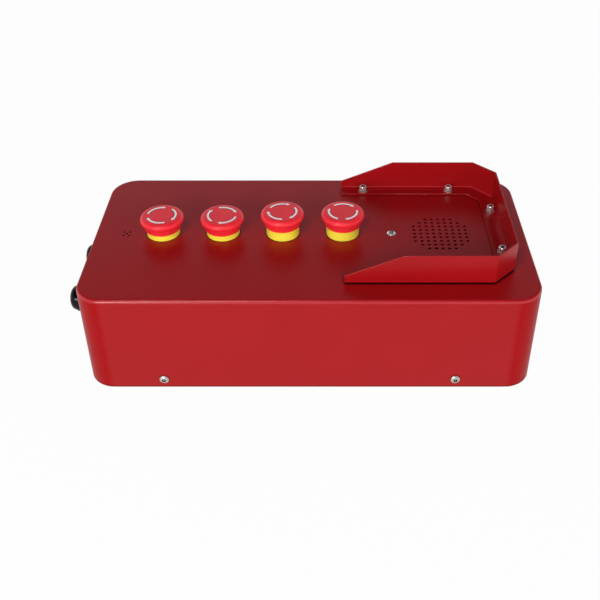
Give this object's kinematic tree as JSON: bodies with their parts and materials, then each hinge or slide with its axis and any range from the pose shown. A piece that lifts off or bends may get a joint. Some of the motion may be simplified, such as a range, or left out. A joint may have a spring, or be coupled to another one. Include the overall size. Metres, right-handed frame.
{
  "type": "call and stop station",
  "caption": "Red steel surface-mounted call and stop station with latching mushroom stop buttons, a microphone, a loudspeaker grille inside a folded hood, and cable glands.",
  "frame": {"origin": "middle of the back face, where the base plate lies on the wall", "axes": "+X along the case towards the hood end, -Y to the long front side, +Z from the wall to the deck"},
  "size_m": [0.4202, 0.2042, 0.127],
  "materials": {
    "red_coat": "satin powder coat",
    "zinc_steel": "zinc plated",
    "bright_steel": "bright",
    "head_red": "moulded satin",
    "collar_yellow": "moulded",
    "black_plastic": "moulded nylon",
    "grey_plastic": "moulded",
    "black_rubber": "moulded",
    "cone_paper": "pressed paper",
    "ferrite": "sintered",
    "board_green": "solder mask",
    "strip_green": "moulded",
    "cap_sleeve": "shrink sleeve",
    "lead_grey": "cable jacket"
  },
  "bodies": {
    "case": {"cover_shell": "red_coat", "base_plate": "zinc_steel", "cover_screws": "bright_steel", "base_nuts": "zinc_steel", "speaker_hood": "red_coat", "hood_screws": "bright_steel", "hood_nuts": "zinc_steel", "stop_gaskets": "black_rubber", "stop_locknuts": "black_plastic", "contact_screws": "bright_steel", "speaker_gasket": "black_rubber", "speaker_frame": "zinc_steel", "speaker_magnet": "ferrite", "speaker_strap": "zinc_steel", "strap_spacers": "bright_steel", "strap_screw": "bright_steel", "strap_nuts": "zinc_steel", "mic_boot": "black_rubber", "mic_capsule": "bright_steel", "gland_seals": "black_rubber", "gland_washers": "black_rubber", "gland_locknuts": "black_plastic", "main_board": "board_green", "board_standoffs": "bright_steel", "board_screws": "bright_steel", "terminal_strip": "strip_green", "board_capacitors": "cap_sleeve", "stop_leads": "lead_grey", "speaker_lead": "lead_grey", "mic_lead": "lead_grey", "stop_collar_1": "collar_yellow", "stop_collar_2": "collar_yellow", "stop_collar_3": "collar_yellow", "stop_collar_4": "collar_yellow", "stop_bushing_1": "black_plastic", "stop_bushing_2": "black_plastic", "stop_bushing_3": "black_plastic", "stop_bushing_4": "black_plastic", "stop_spring_1": "bright_steel", "stop_spring_2": "bright_steel", "stop_spring_3": "bright_steel", "stop_spring_4": "bright_steel", "stop_contact_1": "black_plastic", "stop_contact_2": "black_plastic", "stop_contact_3": "black_plastic", "stop_contact_4": "black_plastic", "gland_body_1": "black_plastic", "gland_body_2": "black_plastic", "gland_nut_1": "black_plastic", "gland_nut_2": "black_plastic"},
    "plunger_1": {"stop_plunger_1": "grey_plastic"},
    "head_1": {"stop_head_1": "head_red"},
    "plunger_2": {"stop_plunger_2": "grey_plastic"},
    "head_2": {"stop_head_2": "head_red"},
    "plunger_3": {"stop_plunger_3": "grey_plastic"},
    "head_3": {"stop_head_3": "head_red"},
    "plunger_4": {"stop_plunger_4": "grey_plastic"},
    "head_4": {"stop_head_4": "head_red"},
    "cone": {"speaker_cone": "cone_paper"}
  },
  "joints": [
    {"name": "stop_push_1", "type": "slide", "parent": "case", "child": "plunger_1", "axis": [0, 0, -1], "range_m": [-0.004, 0], "deforming": ["stop_spring_1"]},
    {"name": "stop_twist_1", "type": "hinge", "parent": "plunger_1", "child": "head_1", "pos_m": [-0.1367, 0.0033, 0.098], "axis": [0, 0, -1], "range_deg": [0, 40], "stiffness_Nm_per_rad": 0.02},
    {"name": "stop_push_2", "type": "slide", "parent": "case", "child": "plunger_2", "axis": [0, 0, -1], "range_m": [-0.004, 0], "deforming": ["stop_spring_2"]},
    {"name": "stop_twist_2", "type": "hinge", "parent": "plunger_2", "child": "head_2", "pos_m": [-0.0811, 0.0033, 0.098], "axis": [0, 0, -1], "range_deg": [0, 40], "stiffness_Nm_per_rad": 0.02},
    {"name": "stop_push_3", "type": "slide", "parent": "case", "child": "plunger_3", "axis": [0, 0, -1], "range_m": [0, 0.004], "stiffness_N_per_m": 4000, "deforming": ["stop_spring_3"]},
    {"name": "stop_twist_3", "type": "hinge", "parent": "plunger_3", "child": "head_3", "pos_m": [-0.0255, 0.0033, 0.098], "axis": [0, 0, -1], "range_deg": [0, 40], "stiffness_Nm_per_rad": 0.02},
    {"name": "stop_push_4", "type": "slide", "parent": "case", "child": "plunger_4", "axis": [0, 0, -1], "range_m": [0, 0.004], "stiffness_N_per_m": 4000, "deforming": ["stop_spring_4"]},
    {"name": "stop_twist_4", "type": "hinge", "parent": "plunger_4", "child": "head_4", "pos_m": [0.0301, 0.0033, 0.098], "axis": [0, 0, -1], "range_deg": [0, 40], "stiffness_Nm_per_rad": 0.02},
    {"name": "cone_throw", "type": "slide", "parent": "case", "child": "cone", "axis": [0, 0, 1], "range_m": [-0.0008, 0.0008], "stiffness_N_per_m": 1000}
  ]
}
